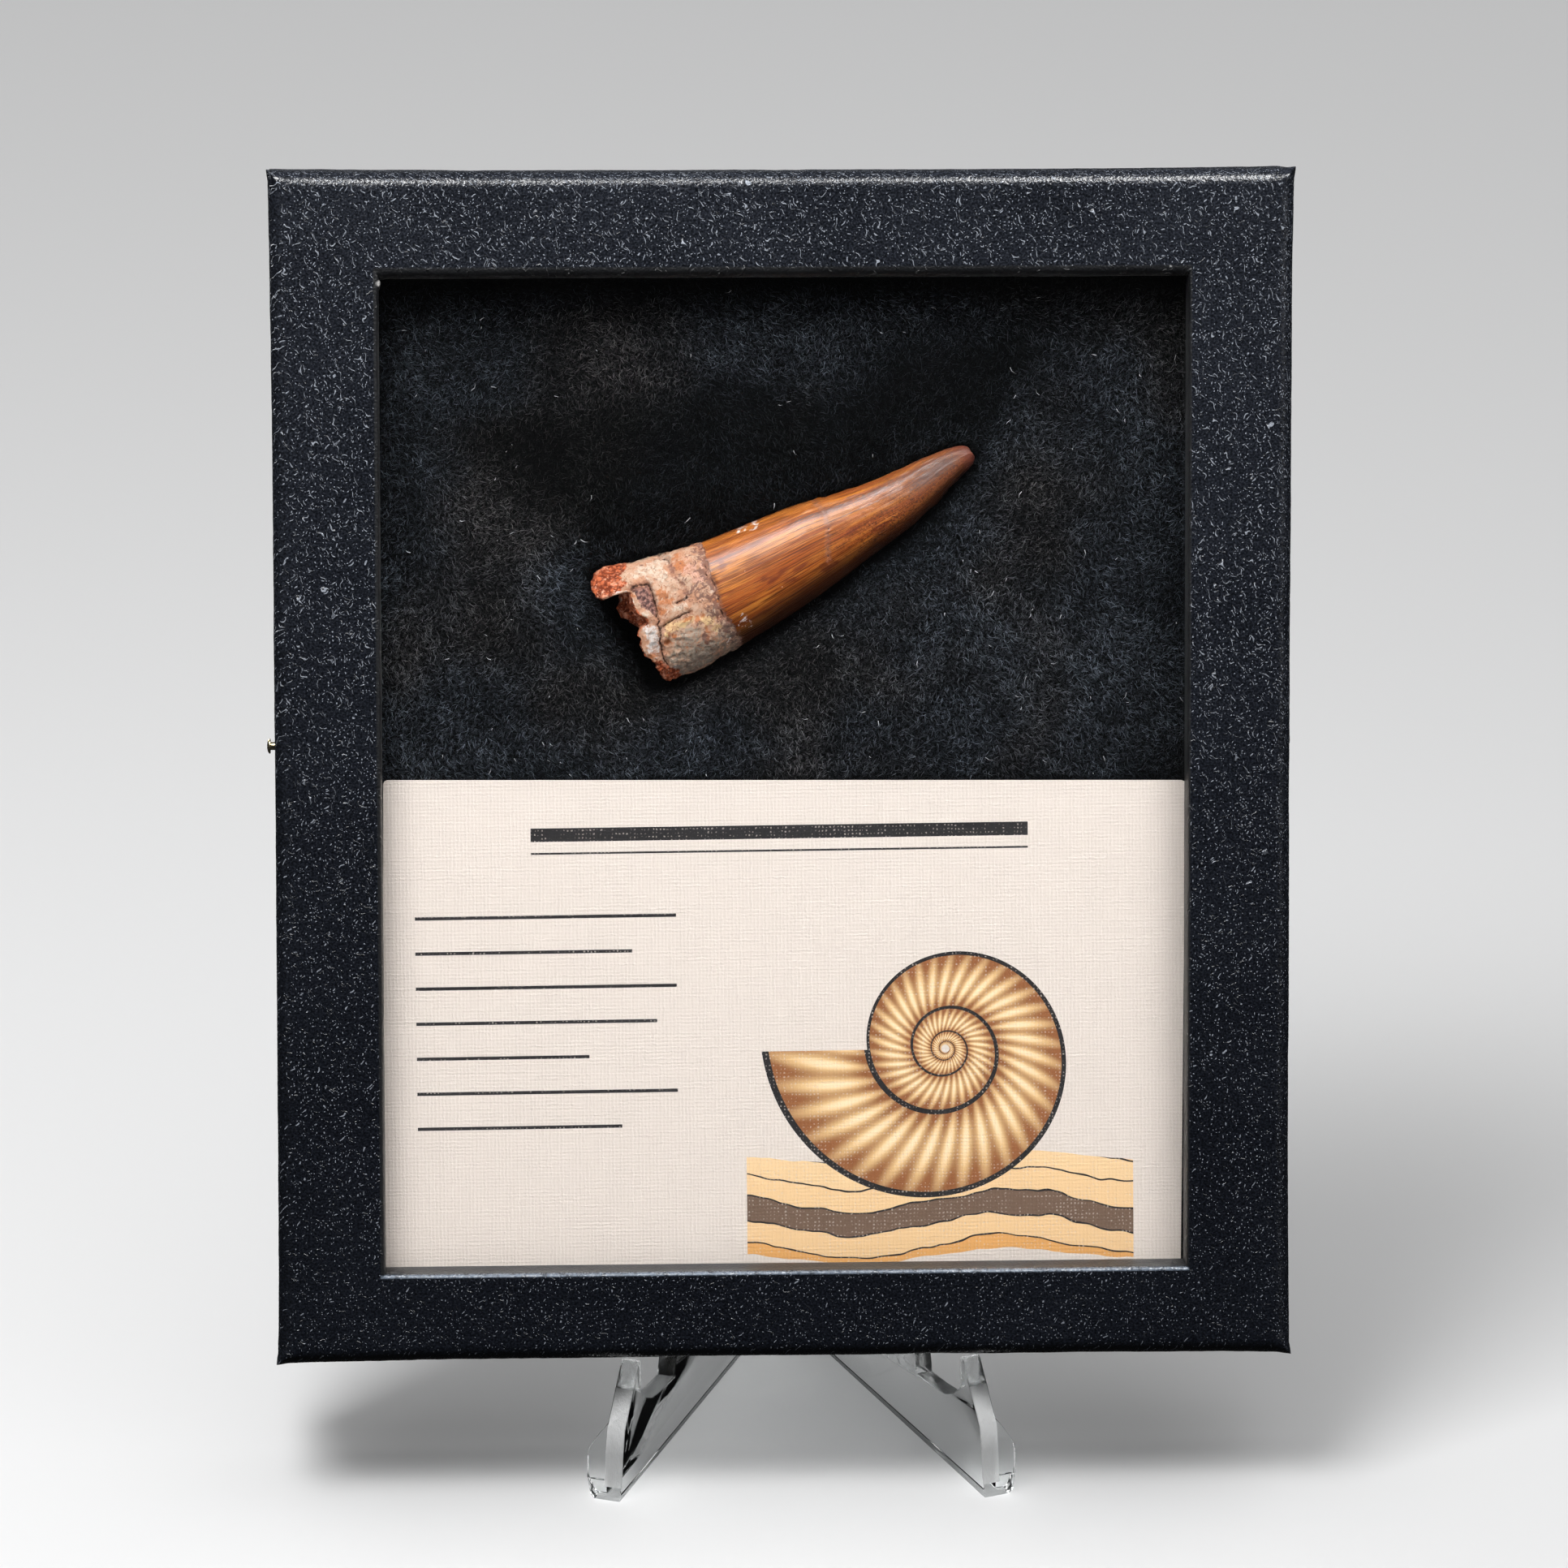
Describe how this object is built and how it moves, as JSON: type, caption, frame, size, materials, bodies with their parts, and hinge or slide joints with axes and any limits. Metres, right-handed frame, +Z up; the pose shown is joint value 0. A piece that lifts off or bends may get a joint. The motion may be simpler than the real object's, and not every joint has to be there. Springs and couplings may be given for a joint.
{
  "type": "boxed fossil tooth on easel stand",
  "caption": "Fossil dinosaur tooth with a blank label card in a glass-topped specimen box, which leans on a clear crossed-plate easel.",
  "frame": {"origin": "on the table under the middle of the whole object", "axes": "+Z up, the box's glass faces -Y and leans back towards +Y, +X to the viewer's right"},
  "size_m": [0.1282, 0.0823, 0.1617],
  "materials": {
    "lid_cover": "black pebble-embossed leather-look paper over board, semi-gloss",
    "pane": "clear flat glass",
    "tray_board": "black matte covered board",
    "fibre": "black short-fibre fleece filling",
    "card_stock": "ivory linen-embossed card stock",
    "fossil_enamel": "amber brown satin enamel, cream and grey cracked root, rusty matrix",
    "pin_metal": "plain bright pin metal",
    "clear_acrylic": "clear polished acrylic with frosted cut front edges"
  },
  "bodies": {
    "root": {"lid": "lid_cover", "glass_pane": "pane", "tray": "tray_board", "fibre_pad": "fibre", "label_card": "card_stock", "tooth": "fossil_enamel", "pin_left": "pin_metal", "pin_right": "pin_metal", "stand_left": "clear_acrylic", "stand_right": "clear_acrylic"}
  },
  "joints": []
}
